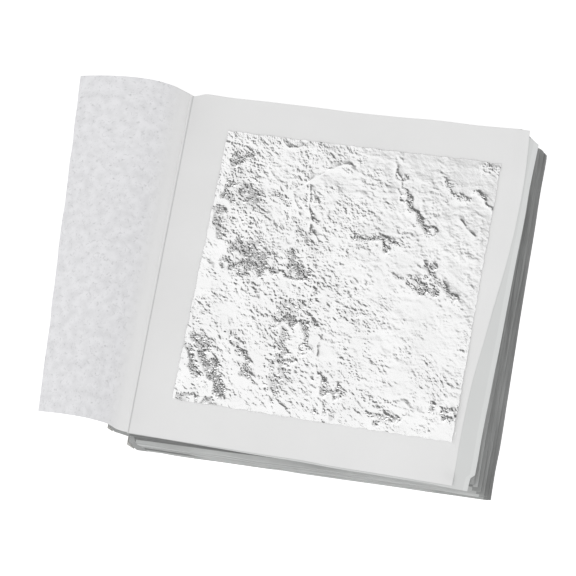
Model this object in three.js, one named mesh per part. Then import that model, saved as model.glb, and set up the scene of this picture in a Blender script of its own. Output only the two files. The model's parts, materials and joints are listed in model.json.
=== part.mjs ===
// Silver leaf booklet: tissue pages glued along one edge, a square of silver leaf lying on each page,
// and the front sheet turned back over the glued edge as a curled flap.
// Millimetres. The origin is on the underside, below the middle of the top page. +X runs from the
// glued edge to the fore-edge, +Y from the tail to the head of the page, and +Z up.
import * as THREE from "three";

// Counts
const LEAF_COUNT = 25; // turning pages, each with one leaf on it
const UPPER_PAGES = 11; // pages of the upper section, the others are the lower section

// Pages
const PAGE_WIDTH = 117; // crease to fore-edge
const PAGE_LENGTH = 119; // tail to head
const PAGE_THICKNESS = 0.3;
const TRIM_UNEVENNESS = 0.5; // how far the edges of neighbouring pages differ
const TAIL_GAIN_TURNS = 0.7; // sets a page's tail corner apart from its head corner
const DROP_TURNS = 1.4; // sets a page's place along the crease apart from its width

// The top two pages are cut askew: what each fore-edge corner gains in width, and how far it lies
// towards the tail
const SKEWED_PAGES = {
  1: { headGain: 0.5, tailGain: -7.2, headDrop: 0.4, tailDrop: 2.5 },
  2: { headGain: 3.8, tailGain: -1.2, headDrop: 2.5, tailDrop: 3.3 },
};

// Leaves
const LEAF_SIDE = 95;
const LEAF_THICKNESS = 0.1;
const LEAF_SPINE_MARGIN = 13.8; // crease to leaf
const TOP_LEAF_YAW_DEG = -1.2; // the leaf that shows lies askew on its page
const LEAF_YAW_SPREAD_DEG = 0.8; // so do the others, each by its own angle
const LEAF_SEAT = 0.03; // air under a leaf
const PAGE_CLEARANCE = 0.22; // air between a leaf and the page above it

// The stack leans: its bottom has slid towards the fore-edge and the tail, and its lower section a
// step further towards the tail
const LEAN_TO_FORE_EDGE = 4.0;
const LEAN_TO_TAIL = 1.9;
const SECTION_STEP = 1.3;
const HEAD_SPREAD = 1.5; // how much further the bottom has slid at the head of the fore-edge
const TAIL_NARROWING = 0.6; // what the pages lack in width at their tail

// Glued edge
const CREASE_GAP = 0.5; // hinge line of a page to its paper
const BOUND_GAP = 0.8; // hinge line of a page to the glued edge
const BOUND_DEPTH = 6.3; // glued width of the top sheet
const LOWER_SET_BACK = 5.7; // spine of the upper glued edge to that of the lower one
const UPPER_TAIL_SLANT = 1.3; // the tail end of the upper glued edge draws back towards the spine
const LOWER_CORNER_RADIUS = 1.2; // worn lower corner of the spine
const LOWER_CORNER_STEPS = 6; // flats that make up that corner
const GLUE_THICKNESS = 0.3;
const GLUE_CLEARANCE = 0.05;

// Front flap: its hinge line
const FLAP_THICKNESS = 0.3;
const FLAP_SET_BACK = 1.6; // hinge line of the top page to that of the flap
const FLAP_LIFT = 0.35; // top of the glued edge to the hinge line of the flap
const FLAP_HEAD_OVERHANG = 0.5; // past the head of the page
const FLAP_TAIL_SHORTFALL = 1.15; // short of the tail of the page

// The curl of the flap's head and tail edges, each a cubic Bezier curve from the hinge line to the free
// edge: how far its points lie towards the spine, its reach, and how far up, its rise
const FLAP_ROOT_RISE = 0.1;
const FLAP_HEAD_ROOT_PULL_REACH = 1.8;
const FLAP_HEAD_ROOT_PULL_RISE = 11.5;
const FLAP_HEAD_EDGE_PULL_REACH = 13.0;
const FLAP_HEAD_EDGE_PULL_RISE = 16.5;
const FLAP_HEAD_EDGE_REACH = 36.7;
const FLAP_HEAD_EDGE_RISE = 8.4;
const FLAP_TAIL_ROOT_PULL_REACH = 5.8;
const FLAP_TAIL_ROOT_PULL_RISE = 3.2;
const FLAP_TAIL_EDGE_PULL_REACH = 5.0;
const FLAP_TAIL_EDGE_PULL_RISE = 17.0;
const FLAP_TAIL_EDGE_REACH = 26.5;
const FLAP_TAIL_EDGE_RISE = 10.7;
const FLAP_STEPS_ALONG_CURL = 16;
const FLAP_STEPS_ALONG_CREASE = 4;
const FLAP_SLOPE_STEP = 1e-3; // share of the curl over which its slope is taken

const DEG = Math.PI / 180;
const GOLDEN_ANGLE = Math.PI * (3 - Math.sqrt(5)); // spreads what differs from page to page
const CREASE_X = -PAGE_WIDTH / 2;
const BACK_PAGE = LEAF_COUNT + 1;
const PAGE_PITCH = PAGE_THICKNESS + LEAF_SEAT + LEAF_THICKNESS + PAGE_CLEARANCE;
const BACK_PAGE_TOP = PAGE_THICKNESS;

// Page 1 is the top one.
const pageBottom = (page) => BACK_PAGE_TOP + PAGE_CLEARANCE + (LEAF_COUNT - page) * PAGE_PITCH;
const BLOCK_TOP = pageBottom(1) + PAGE_THICKNESS;
const SECTION_SPLIT = pageBottom(UPPER_PAGES) - PAGE_CLEARANCE / 2;

// How far the stack has slid at a height, counted from its top.
const depthShare = (z) => (BLOCK_TOP - z) / BLOCK_TOP;
const leanX = (z) => LEAN_TO_FORE_EDGE * depthShare(z);
const leanY = (z, inLowerSection) => -LEAN_TO_TAIL * depthShare(z) - (inLowerSection ? SECTION_STEP : 0);

const tissue = new THREE.MeshStandardMaterial({ color: 0xdedfdf, roughness: 0.9, metalness: 0 });
const speckledTissue = new THREE.MeshStandardMaterial({ color: 0xe0e0e3, roughness: 0.95, metalness: 0 });
const gluedPaper = new THREE.MeshStandardMaterial({ color: 0xb4b8b7, roughness: 0.85, metalness: 0 });
const glue = new THREE.MeshStandardMaterial({ color: 0xe9e6dc, roughness: 0.45, metalness: 0 });
const silver = new THREE.MeshStandardMaterial({ color: 0xf2f2f4, roughness: 0.25, metalness: 1 });

const twoDigits = (number) => String(number).padStart(2, "0");

function named(name, geometry, material) {
  const mesh = new THREE.Mesh(geometry, material);
  mesh.name = name;
  return mesh;
}

function polygon(points) {
  return new THREE.Shape(points.map(([x, y]) => new THREE.Vector2(x, y)));
}

// An outline in x and y, extruded upwards.
function upright(outline, thickness) {
  return new THREE.ExtrudeGeometry(outline, { depth: thickness, bevelEnabled: false });
}

// An outline in x and z, extruded along the crease and centred on y = 0.
function alongCrease(outline, length) {
  const options = { depth: length, bevelEnabled: false, curveSegments: LOWER_CORNER_STEPS };
  return new THREE.ExtrudeGeometry(outline, options).rotateX(Math.PI / 2).translate(0, length / 2, 0);
}

// The pages don't line up, so each one's fore-edge corners lie at their own place.
function pageSkew(page) {
  const uneven = (turns) => TRIM_UNEVENNESS * Math.sin(turns * GOLDEN_ANGLE);
  return SKEWED_PAGES[page] ?? {
    headGain: uneven(page) + (HEAD_SPREAD * page) / BACK_PAGE,
    tailGain: uneven(page + TAIL_GAIN_TURNS) - TAIL_NARROWING,
    headDrop: uneven(page + DROP_TURNS),
    tailDrop: uneven(page + DROP_TURNS),
  };
}

// A page from its hinge line, at x = 0, to its fore-edge.
function pageOutline({ headGain, tailGain, headDrop, tailDrop }, inner) {
  const half = PAGE_LENGTH / 2;
  return polygon([
    [inner, -half],
    [PAGE_WIDTH + tailGain, -half - tailDrop],
    [PAGE_WIDTH + headGain, half - headDrop],
    [inner, half],
  ]);
}

function placeOnLean(mesh, x, z) {
  mesh.position.set(x + leanX(z), leanY(z, z < SECTION_SPLIT), z);
  return mesh;
}

function makePage(page) {
  const sheet = upright(pageOutline(pageSkew(page), CREASE_GAP), PAGE_THICKNESS);
  return placeOnLean(named(`page_${twoDigits(page)}`, sheet, tissue), CREASE_X, pageBottom(page));
}

function makeBackPage() {
  const sheet = upright(pageOutline(pageSkew(BACK_PAGE), GLUE_CLEARANCE - BOUND_GAP), PAGE_THICKNESS);
  return placeOnLean(named("back_page", sheet, tissue), CREASE_X, 0);
}

function makeLeaf(page) {
  const half = LEAF_SIDE / 2;
  const square = polygon([[-half, -half], [half, -half], [half, half], [-half, half]]);
  const mesh = named(`silver_leaf_${twoDigits(page)}`, upright(square, LEAF_THICKNESS), silver);
  const ownYaw = LEAF_YAW_SPREAD_DEG * Math.sin(page * GOLDEN_ANGLE);
  mesh.rotation.z = DEG * (page === 1 ? TOP_LEAF_YAW_DEG : ownYaw);
  placeOnLean(mesh, CREASE_X + LEAF_SPINE_MARGIN + half, pageBottom(page));
  mesh.position.z += PAGE_THICKNESS + LEAF_SEAT;
  return mesh;
}

// Page side of the glued edge at a height, and the upright spine sides of its two sections.
const boundRight = (z) => CREASE_X - BOUND_GAP + leanX(z);
const UPPER_SPINE_X = boundRight(BLOCK_TOP) - BOUND_DEPTH;
const LOWER_SPINE_X = UPPER_SPINE_X + LOWER_SET_BACK;

// Moves a bar's corners towards the tail, as far as the sheets at their height have slid.
function slideToTail(bar, inLowerSection) {
  const corners = bar.attributes.position;
  for (let i = 0; i < corners.count; i++) {
    corners.setY(i, corners.getY(i) + leanY(corners.getZ(i), inLowerSection));
  }
  return bar;
}

// The glued margins of the lower sheets, with a worn lower corner.
function makeLowerBoundEdge() {
  const r = LOWER_CORNER_RADIUS;
  const outline = new THREE.Shape();
  outline.moveTo(boundRight(0), 0);
  outline.lineTo(boundRight(SECTION_SPLIT), SECTION_SPLIT);
  outline.lineTo(LOWER_SPINE_X, SECTION_SPLIT);
  outline.lineTo(LOWER_SPINE_X, r);
  outline.absarc(LOWER_SPINE_X + r, r, r, Math.PI, 1.5 * Math.PI, false);
  const bar = slideToTail(alongCrease(outline, PAGE_LENGTH), true);
  return named("lower_bound_edge", bar, gluedPaper);
}

// The tail end of the upper glued edge draws back towards the spine.
function upperTailY(x) {
  const pageSide = boundRight(SECTION_SPLIT);
  return -PAGE_LENGTH / 2 + (UPPER_TAIL_SLANT * (pageSide - x)) / (pageSide - UPPER_SPINE_X);
}

// The glued margins of the upper sheets.
function makeUpperBoundEdge() {
  const outline = polygon([
    [boundRight(SECTION_SPLIT), SECTION_SPLIT],
    [boundRight(BLOCK_TOP), BLOCK_TOP],
    [UPPER_SPINE_X, BLOCK_TOP],
    [UPPER_SPINE_X, SECTION_SPLIT],
  ]);
  const bar = alongCrease(outline, PAGE_LENGTH);
  const corners = bar.attributes.position;
  for (let i = 0; i < corners.count; i++) {
    if (corners.getY(i) < 0) {
      corners.setY(i, upperTailY(corners.getX(i)));
    }
  }
  return named("upper_bound_edge", slideToTail(bar, false), gluedPaper);
}

// A film of glue on a spine face, between two heights and from its tail to the head of the sheets.
function makeSpineGlue(name, spineX, z0, z1, tailY, inLowerSection) {
  const inner = spineX - GLUE_CLEARANCE;
  const outer = inner - GLUE_THICKNESS;
  const headY = PAGE_LENGTH / 2;
  const outline = polygon([[inner, z0], [inner, z1], [outer, z1], [outer, z0]]);
  const film = alongCrease(outline, headY - tailY).translate(0, (headY + tailY) / 2, 0);
  return named(name, slideToTail(film, inLowerSection), glue);
}

function makeUpperSpineGlue() {
  const tailY = upperTailY(UPPER_SPINE_X);
  return makeSpineGlue("upper_spine_glue", UPPER_SPINE_X, SECTION_SPLIT, BLOCK_TOP, tailY, false);
}

// Its film ends just below the upper glued edge, which overhangs it.
function makeLowerSpineGlue() {
  const top = SECTION_SPLIT - GLUE_CLEARANCE;
  return makeSpineGlue("lower_spine_glue", LOWER_SPINE_X, LOWER_CORNER_RADIUS, top, -PAGE_LENGTH / 2, true);
}

// The curl of one of the flap's edges, in x and z from its hinge line.
function flapCurl(rootPullReach, rootPullRise, edgePullReach, edgePullRise, edgeReach, edgeRise) {
  return new THREE.CubicBezierCurve(
    new THREE.Vector2(0, FLAP_ROOT_RISE),
    new THREE.Vector2(-rootPullReach, rootPullRise),
    new THREE.Vector2(-edgePullReach, edgePullRise),
    new THREE.Vector2(-edgeReach, edgeRise),
  );
}

// The turned-back front sheet: lofted from its tail edge to its head edge, then given its thickness.
function makeFrontFlap() {
  const steps = FLAP_STEPS_ALONG_CURL;
  const rows = FLAP_STEPS_ALONG_CREASE;
  const tailY = -PAGE_LENGTH / 2 + FLAP_TAIL_SHORTFALL;
  const headY = PAGE_LENGTH / 2 + FLAP_HEAD_OVERHANG;
  const hinge = new THREE.Vector3(CREASE_X - FLAP_SET_BACK, 0, BLOCK_TOP + FLAP_LIFT);
  const tailCurl = flapCurl(
    FLAP_TAIL_ROOT_PULL_REACH,
    FLAP_TAIL_ROOT_PULL_RISE,
    FLAP_TAIL_EDGE_PULL_REACH,
    FLAP_TAIL_EDGE_PULL_RISE,
    FLAP_TAIL_EDGE_REACH,
    FLAP_TAIL_EDGE_RISE,
  );
  const headCurl = flapCurl(
    FLAP_HEAD_ROOT_PULL_REACH,
    FLAP_HEAD_ROOT_PULL_RISE,
    FLAP_HEAD_EDGE_PULL_REACH,
    FLAP_HEAD_EDGE_PULL_RISE,
    FLAP_HEAD_EDGE_REACH,
    FLAP_HEAD_EDGE_RISE,
  );
  const middle = (t, v) => {
    const xz = tailCurl.getPoint(t).lerp(headCurl.getPoint(t), v);
    return new THREE.Vector3(xz.x, THREE.MathUtils.lerp(tailY, headY, v), xz.y).add(hinge);
  };
  // The outer face looks up; it is found from the directions along the curl and along the crease.
  const outward = (t, v) => {
    const step = FLAP_SLOPE_STEP;
    const alongCurl = middle(t + step, v).sub(middle(t - step, v));
    const alongHinge = middle(t, v + step).sub(middle(t, v - step));
    return alongHinge.cross(alongCurl).normalize();
  };
  const positions = [];
  for (const side of [1, -1]) {
    for (let row = 0; row <= rows; row++) {
      for (let step = 0; step <= steps; step++) {
        const t = step / steps;
        const v = row / rows;
        const offset = outward(t, v).multiplyScalar((side * FLAP_THICKNESS) / 2);
        positions.push(...middle(t, v).add(offset).toArray());
      }
    }
  }
  const faceSize = (rows + 1) * (steps + 1);
  const outer = (row, step) => row * (steps + 1) + step;
  const inner = (row, step) => faceSize + outer(row, step);
  const triangles = [];
  const quad = (a, b, c, d) => triangles.push(a, b, c, a, c, d);
  for (let row = 0; row < rows; row++) {
    for (let step = 0; step < steps; step++) {
      quad(outer(row, step), outer(row + 1, step), outer(row + 1, step + 1), outer(row, step + 1));
      quad(inner(row, step), inner(row, step + 1), inner(row + 1, step + 1), inner(row + 1, step));
    }
    quad(outer(row, 0), inner(row, 0), inner(row + 1, 0), outer(row + 1, 0));
    quad(outer(row, steps), outer(row + 1, steps), inner(row + 1, steps), inner(row, steps));
  }
  for (let step = 0; step < steps; step++) {
    quad(outer(0, step), outer(0, step + 1), inner(0, step + 1), inner(0, step));
    quad(outer(rows, step), inner(rows, step), inner(rows, step + 1), outer(rows, step + 1));
  }
  const geometry = new THREE.BufferGeometry();
  geometry.setAttribute("position", new THREE.Float32BufferAttribute(positions, 3));
  geometry.setIndex(triangles);
  geometry.computeVertexNormals();
  return named("front_flap", geometry, speckledTissue);
}

const booklet = new THREE.Group();
booklet.add(makeFrontFlap(), makeBackPage());
booklet.add(makeUpperBoundEdge(), makeLowerBoundEdge());
booklet.add(makeUpperSpineGlue(), makeLowerSpineGlue());
for (let page = 1; page <= LEAF_COUNT; page++) {
  booklet.add(makePage(page), makeLeaf(page));
}

export default booklet;
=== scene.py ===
"""Looks of the silver leaf booklet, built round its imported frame.

Shapes are worked out in millimetres, in the frame's own axes: +X from the glued edge to the fore-edge, +Y
from the tail to the head of the page, +Z up. They turn into metres where a mesh or an object is made.
"""
import json
import math

import bpy
import numpy as np
from mathutils import Matrix, Vector


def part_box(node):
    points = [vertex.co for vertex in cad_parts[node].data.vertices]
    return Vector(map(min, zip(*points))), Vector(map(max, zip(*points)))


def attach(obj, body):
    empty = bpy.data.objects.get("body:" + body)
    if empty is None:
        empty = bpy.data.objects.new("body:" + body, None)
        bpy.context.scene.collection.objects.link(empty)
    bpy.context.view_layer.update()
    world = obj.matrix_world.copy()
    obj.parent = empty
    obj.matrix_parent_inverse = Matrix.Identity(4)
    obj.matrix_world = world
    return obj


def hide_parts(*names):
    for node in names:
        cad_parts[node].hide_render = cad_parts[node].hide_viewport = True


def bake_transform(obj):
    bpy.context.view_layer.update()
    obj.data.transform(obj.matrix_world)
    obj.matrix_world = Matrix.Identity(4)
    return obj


MM = 0.001

# The booklet as a whole
LEAF_COUNT = 25
BACK_PAGE = LEAF_COUNT + 1  # the back page's number, after the pages with a leaf
UPPER_PAGES = 11  # pages in the upper section
SLIDING_LEAVES = 2  # leaves with a joint of their own
PAGE_LENGTH = 119.0  # tail to head of a page, and nearly its width too

# Tissue pages
TOP_PAGE_THICKNESS = 0.08  # of the first two pages, whose borders show
PAGE_THICKNESS = 0.3
PAGE_STEPS = 56  # grid steps along each side of a page
PAGE_STEP_CROWDING = 0.1  # how much closer these steps lie along the edges
PAGE_WAVE_UNDER_LEAF = 0.05  # half height of a page's waves where a leaf lies on it
PAGE_WAVE_AT_EDGE = 0.10  # half height of its waves along its free edges
PAGE_WAVE_LENGTH = 21.0
PAGE_EDGE_MARGIN = 11.0  # width of the border that no leaf covers
PAGE_EDGE_WANDER = 0.3  # how far a cut edge strays from straight
PAGE_EDGE_WANDER_LENGTH = 14.0
PAGE_SLIP = 0.2  # how far a page lies out of line with its neighbours
PAGE_ROOT = 1.2  # how far a page reaches past its own solid, towards the glued edge
TOP_PAGE_ROOT = 0.6
TOP_CORNER_CUT = 3.0  # the head corners at the fore-edge are worn off at a slant, by this much at the top
BACK_CORNER_CUT = 0.6  # and this much at the back page
SECOND_CORNER_SLOPE = 0.7  # the second page's corner is cut off at a flatter slant
HEAD_SLANT = 0.45  # how far the head edge under the top page draws back towards the fore-edge
FORE_EDGE_FADE = 4  # power with which the shape of a page's fore-edge dies down across the page
EDGE_FADE = 6  # the same for its tail and head, and for the edges of the flap and the glue

# The top page's fore-edge swings in an S, bellies out a little and hangs down to the page below
TOP_PAGE_SWING = 1.45
TOP_PAGE_BELLY = 0.75
TOP_PAGE_DROOP = 0.53
TOP_PAGE_DROOP_WIDTH = 6.0
TOP_PAGE_CORNER = 6.0  # but the tail corner stays up
# The second page has a step in its fore-edge beside its tail corner
NICK_DEPTH = 1.3
NICK_PLACE = 4.6  # tail to the step
NICK_WIDTH = 1.2
# Below it the tail end of the fore-edge leans out evenly towards the foot of the stack
TAIL_LEAN = 1.7
# The top page's head edge bulges beside the flap
TOP_PAGE_BULGE = 1.2
TOP_PAGE_BULGE_START = 6.0  # full bulge this far from the crease
TOP_PAGE_BULGE_END = 80.0
# The top page's root lies in the shade of the flap's foot: wholly up to the first of these distances from
# its edge, and not at all from the second on
ROOT_SHADE = (0.3, 0.7)
ROOT_SHADE_TONE = 0.68
# Some low pages draw back from the tail beside the glued edge, which leaves a slot there; its darkness is
# painted shade, a dark tone on the tail edge of the page under it
SLOT_PAGES = (20, 21, 22)
SLOT_DEPTH = 2.4
SLOT_LENGTH = 24.0
SLOT_SHADE_TONE = 0.3

# Silver leaf
LEAF_SIDE = 95.0
LEAF_THICKNESS = 0.02
TOP_LEAF_STEPS = 420
SECOND_LEAF_STEPS = 160
INNER_LEAF_STEPS = 48
PRESSED_RELIEF = 0.16  # height in which a leaf between two pages lies
PRESSED_ROUGHNESS = 0.45  # share of its roughness that is left there
LEAF_SEAT = 0.02  # air under a leaf
LEAF_EDGE_WANDER = 0.22
LEAF_EDGE_WANDER_LENGTH = 1.7
LEAF_EDGE_FADE = 8  # power with which the raggedness of a leaf's edge dies down inwards

# The open leaf's relief: broad swells and ever smaller flat facets, which are steeper beside the glued edge
# than at the fore-edge. The other leaves have the like, pressed flat and without dips and creases.
SWELL_HEIGHT = 0.07
SWELL_LENGTH = 12.0
BROAD_FACETS = [(7.5, 0.018), (3.4, 0.028)]  # their widths and slopes
FINE_FACETS = [(1.2, 0.05), (0.72, 0.07)]
FACET_TURN = 37.0  # degrees by which each kind is turned from the one before
FACET_SEEDS = 3  # seeds that each kind takes up
FACET_BEND = 0.5  # how far the facets stray sideways, in their own widths
FACET_LIFT = 0.05  # height of the fine facets above the page, where the leaf lies on it
# Raised patches: lengths and shares of the noise that draws their outlines
TERRACES = [(4.6, 1.0), (2.3, 0.6), (1.2, 0.4), (0.7, 0.25)]
TERRACE_COUNT = 0.7  # how close the patches lie
TERRACE_SHARPNESS = 6.0  # how steep their borders are
TERRACE_HEIGHT = 0.07
# How rough the leaf is, and the dips in its rough stretches
CALM_AT_SPINE = 1.0  # how rough it is where nothing stands out
CALM_AT_FORE_EDGE = 0.38
CALM_SLANT = 0.44  # and how much rougher it is at the tail than at the head
ROUGH = 1.9  # how rough it is in its rough stretches
CALM_PATCHES = [(9.0, 0.45), (3.5, 0.8)]  # lengths of rougher and smoother patches, and their difference
SMOOTHEST = 0.12  # share of the roughness that is left in the smoothest patches
TOOTH = 1.0  # the rough stretches dip in small steps of this width
TOOTH_FALL = 0.8  # share of a step that falls
TOOTH_BEND = 2.4  # how far the steps stray sideways, in steps
LEAF_LYING_BORDER = 3.0  # width of the border in which the relief dies down towards the page
LEAF_LYING_SHARE = 0.5  # share of it that is left at the very edge
STEEP = 0.28  # dips from this slope on are as rough as can be
DIP_DEPTH = 2.0  # how much steeper the steps are than the dips as written below
DIP_STRAY = 2.4  # how ragged the dips' borders are
DIP_STRAY_LENGTH = 2.4
# The silver's colour is darkened as painted shade in the crumpled dips, from the share below on and down to
# the tone below where the leaf is roughest
CRINKLE_SHADE_FROM = 0.42  # share of the roughest from which the silver looks dull, in the dips only
CRINKLE_SHADE_TONE = 0.58  # tone of the silver where it is roughest
LEAF_SUNK = 35  # percentage of the leaf that lies on the page itself
GRAIN = 0.8  # height of the leaf's finest grain, where it is roughest
GRAIN_WHERE_CALM = 0.05  # share of that height where it is calm

# Rough stretches of the open leaf, which dip towards its head-right corner: their two ends from the
# middle of the leaf, their width and how steeply they dip
DIPS = [
    ((-45, 37), (-38, 37.5), 3.0, 0.34),
    ((-45, 43), (-42, 42), 6.0, 0.12),
    ((-42, 37), (-36, 21), 13.0, 0.15),
    ((-45, 29), (-41, 23), 4.5, 0.36),
    ((-38, 28), (-32, 24), 5.0, 0.26),
    ((-46, 18), (-41, 11), 4.0, 0.26),
    ((-36, 12), (-30, 8), 8.0, 0.12),
    ((-35, 7), (-26, 3), 8.0, 0.28),
    ((-38, 0), (-22, 0.5), 4.5, 0.34),
    ((-22, 0.5), (-10, -1), 3.5, 0.36),
    ((-19, 7), (-10, -1), 4.5, 0.30),
    ((-14, 14), (-8, 9), 5.5, 0.18),
    ((-16, -11), (-11, -11), 7.0, 0.20),
    ((-18, -15.5), (-10, -15.5), 4.0, 0.38),
    ((-10, -15.5), (-5.5, -24), 3.0, 0.34),
    ((-7, -6), (-5, -17), 2.2, 0.22),
    ((-15, -20), (-12.5, -40), 6.0, 0.22),
    ((-15.5, -27), (-11, -27.5), 2.6, 0.34),
    ((-44, -24), (-37, -35), 4.0, 0.26),
    ((-38.5, -31), (-31.5, -43), 4.2, 0.44),
    ((-46, -30), (-41, -37), 4.0, 0.38),
    ((-46.5, -46.5), (-33, -46.5), 2.6, 0.30),
    ((-28, -28), (-23, -37), 3.2, 0.24),
    ((-33, -22), (-29, -27), 3.5, 0.18),
    ((2, -10.5), (14, -14.5), 4.5, 0.15),
    ((5, -26), (13, -31), 6.0, 0.12),
    ((1.5, -35), (7, -37.5), 3.2, 0.32),
    ((2, -43), (5, -46), 3.5, 0.20),
    ((20, -43.5), (28, -44.5), 3.2, 0.24),
    ((15, -36), (24, -38), 5.0, 0.12),
    ((41, -37.5), (46.5, -38.5), 3.0, 0.38),
    ((13, 40), (18, 30), 2.2, 0.22),
    ((18, 30), (29, 19), 3.0, 0.32),
    ((4, 15.5), (16, 15), 3.4, 0.30),
    ((20, 4), (28, 3), 3.4, 0.18),
    ((28, 8), (38.5, 0), 3.0, 0.26),
    ((27, 2), (32, 1.5), 3.0, 0.30),
    ((-26, 25), (-20, 23), 3.0, 0.18),
    ((-16.5, 28), (-12.5, 20.5), 2.6, 0.20),
    ((30, 38), (36, 33), 3.4, 0.16),
    ((43, 36), (47, 31), 2.4, 0.22),
    ((42, 46), (47, 45), 4.0, 0.12),
    ((-47, -14), (-45, -19), 4.0, 0.16),
]
# Sharp creases in the open leaf
CREASES = [
    ((-32, 34), (-25, 44)),
    ((-25, 44), (-20, 45)),
    ((-21, 29), (-10, 38)),
    ((-10, 38), (-3, 41)),
    ((-20, 28), (-17, 21)),
    ((-15, 31), (-12, 15)),
    ((-11, 15), (-7, 11)),
    ((12, 43), (15, 38)),
    ((1, 10), (3, 16)),
    ((28, 11), (31, 6)),
    ((37, 26), (43, 22)),
    ((-15, -40), (-7, -47)),
    ((-11, -31), (-4, -24)),
    ((-2, -19), (-2, -27)),
    ((-29, -35), (-23, -36)),
]
CREASE_HEIGHT = 0.2
CREASE_WIDTH = 0.5
CREASE_STRAY = 0.6
CREASE_STRAY_LENGTH = 2.5
CREASE_UNEVENNESS = 0.6

# Front flap: the curl of its head and tail edges, as Bezier points towards the spine and up from the hinge
FLAP_HEAD_CURL = [(0, 0.1), (1.8, 11.5), (13.0, 16.5), (36.7, 8.4)]
FLAP_TAIL_CURL = [(0, 0.1), (5.8, 3.2), (5.0, 17.0), (26.5, 10.7)]
FLAP_THICKNESS = 0.16
FLAP_STEPS = 72
FLAP_WAVE = 0.22
FLAP_WAVE_LENGTH = 26.0
FLAP_EDGE_WANDER = 0.16
FLAP_EDGE_WANDER_LENGTH = 7.0
FLAP_ROOT_STEPS = 4
FLAP_ROOT_SHIFT = 1.0  # the flap's foot stands this far from the hinge, towards the page
FLAP_ROOT_DROP = 0.36  # and this far below its curl
FLAP_ROOT_SHARE = 0.15  # share of the curl that runs out into the foot
FLAP_TAIL_SPREAD = 1.1  # the tail edge slants down to the page's corner
FLAP_TAIL_SHARE = 0.35  # in this share of the curl
FLAP_STRIP = 0.7  # width of the strip in front of the foot, which stays with the glued edge
FLAP_STRIP_DROP = 0.02  # how far it slopes down to the page
FLAP_PLAIN_BAND = 2.5  # no flecks this near the crease, and all of them from the next value on
FLAP_FLECKS_FROM = 12.0

# Glued edge
LAYERS_PER_PAGE = 2
LAYER_FILL = 0.86  # share of a layer's height that its paper takes up
LAYER_STEPS = 40  # grid steps from tail to head
LAYER_STEPS_ACROSS = 3
LAYER_WANDER = 0.3
LAYER_WAVES = 14  # bumps in a layer's spine side
GLUE_THICKNESS = 0.16
GLUE_STAND_OFF = 0.2  # side of the glued edge to the middle of the glue film
GLUE_BUMP = 0.06
GLUE_BUMP_LENGTH = 5.0
GLUE_EDGE_WANDER = 0.5
GLUE_STEPS_ALONG = 120
GLUE_STEPS_UP = 16
SAME_LEVEL = 0.001  # corners of a solid this close in height lie at one level
SPINE_MARGIN = 0.1  # corners at least this far from the page side lie on the spine side

# Tones and tints of the materials
TISSUE_TINT = (1.0, 1.0, 0.998)
EDGE_TINT = (0.985, 1.0, 0.992)
FLAP_TINT = (0.98, 0.98, 1.0)
TISSUE_CLOUD = 0.965  # tone of the tissue's darker clouds, as a share of the lighter ones'
EDGE_STREAKS = (0.72, 1.12)  # darkest and lightest streaks along the cut edges, as shares of their tone
FLAP_CLOUDS = (0.80, 0.89)
FLAP_PLAIN_TONE = 0.86
# Fibres in the flap: scale of the noise that draws them, direction in degrees and tone
FLAP_FIBRES = [(90, 25, 0.86), (100, 80, 0.88), (80, 140, 0.87), (130, 50, 0.87)]
SILVER_TONES = (0.92, 0.97)
GLUE_COLOURS = ((0.72, 0.71, 0.68), (0.83, 0.82, 0.79))

# Camera, from the photo
CAMERA_AIM = (-13.04, -4.16, 16.42)
CAMERA_DISTANCE = 665.3
CAMERA_AZIMUTH = 46.2
CAMERA_ELEVATION = 70.75
CAMERA_ROLL = -37.78
CAMERA_LENS = 125.0
SENSOR_WIDTH = 36.0

# Light
BRIGHT_SIDE = 1.0  # strength of the room's light
DARK_SIDE = 0.16  # and on its dark side
DARK_DIRECTION = (0.35, 0.80, 0.48)  # towards the middle of that side
DARK_FROM = 56.0  # angles from that direction at which the room starts to darken, and is darkest
DARK_TO = 32.0
KEY_PLACE = (450.0, -650.0, 800.0)
KEY_SIZE = 800.0
KEY_POWER = 2.4  # watts
FLOOR_SIDE = 6000.0
FLOOR_DROP = 0.2  # how far the floor lies below the booklet
FLOOR_TONE = 0.62
FLOOR_GLOW = 0.76

LATTICE = 128  # cells along each side of the noise before it repeats
MID_CELL = 0.5  # middle of a cell, for noise along a line
# Seeds of the noise; a page's own number is added to the seeds of pages
FORE_EDGE_SEED = 10
TAIL_EDGE_SEED = 40
HEAD_EDGE_SEED = 70
PAGE_WAVE_SEED = 100
LEAF_SEED = 200
LEAF_SEED_STEP = 20  # from one leaf to the next
LEAF_EDGE_SEED = 500
FLAP_WAVE_SEED = 600
FLAP_EDGE_SEED = 601
UPPER_BOUND_SEED = 700
LOWER_BOUND_SEED = 720
UPPER_GLUE_SEED = 740
LOWER_GLUE_SEED = 760
# Added to a leaf's seed for the parts of its relief
SWELL_SEED = 1
BROAD_FACET_SEED = 2
CREASE_SEED = 10
FINE_FACET_SEED = 13
TERRACE_SEED = 19
DIP_SEED = 400

UV_MAP = "surface"
UV_SIZE = 100.0  # millimetres that one unit of a UV map stands for
UV_SHIFT = (7.3, 3.1)  # how far apart the UV maps of two sheets lie, so that their textures differ
SHARP_ANGLE = 60.0  # edges that turn by more than this look sharp
FACE, RIM, ROW_END = 0, 1, 2  # what a quad of a sheet belongs to; ROW_END is the rim at the end of the rows
# On a page these rows take its edge material, so the edge's painted shade covers the top along its edges
RIM_QUADS = 2  # rows of quads on the upper face that count as its rim
MIX_A, MIX_B, MIX_RESULT = 6, 7, 2  # colour sockets of a mix node

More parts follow.
